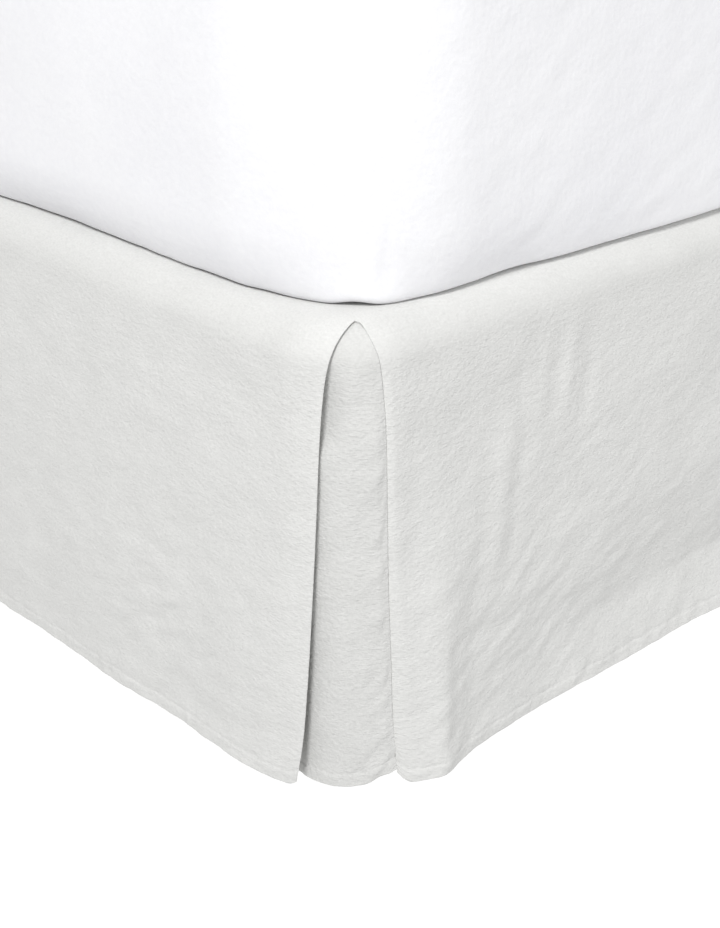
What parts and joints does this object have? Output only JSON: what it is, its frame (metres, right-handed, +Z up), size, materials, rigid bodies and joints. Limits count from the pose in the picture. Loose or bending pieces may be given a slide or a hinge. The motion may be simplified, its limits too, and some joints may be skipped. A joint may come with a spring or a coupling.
{
  "type": "bed skirt on a bed base and mattress",
  "caption": "Tailored linen bed skirt with an inverted pleat at each foot corner, hung over a plain bed base and held under its mattress.",
  "frame": {"origin": "on the floor, under the middle of the bed with its skirt", "axes": "+Z up, -Y towards the foot of the bed, +X towards the right-hand long side seen from the foot"},
  "size_m": [1.5578, 2.0404, 0.6918],
  "materials": {
    "linen": "washed linen in plain weave, matt, with slubs and soft creases",
    "deck_cotton": "plain cotton sheeting, matt",
    "mattress_cover": "fitted white cotton cover, slightly crinkled",
    "base_cover": "plain upholstery fabric, matt",
    "leg_wood": "turned beech with a thin satin lacquer"
  },
  "bodies": {
    "root": {"mattress": "mattress_cover", "bed_base": "base_cover", "leg_foot_left": "leg_wood", "leg_foot_middle": "leg_wood", "leg_foot_right": "leg_wood", "leg_head_left": "leg_wood", "leg_head_middle": "leg_wood", "leg_head_right": "leg_wood", "skirt_deck": "deck_cotton", "skirt_panel_foot": "linen", "skirt_panel_right": "linen", "skirt_panel_left": "linen", "pleat_back_right": "linen", "pleat_back_left": "linen"}
  },
  "joints": []
}
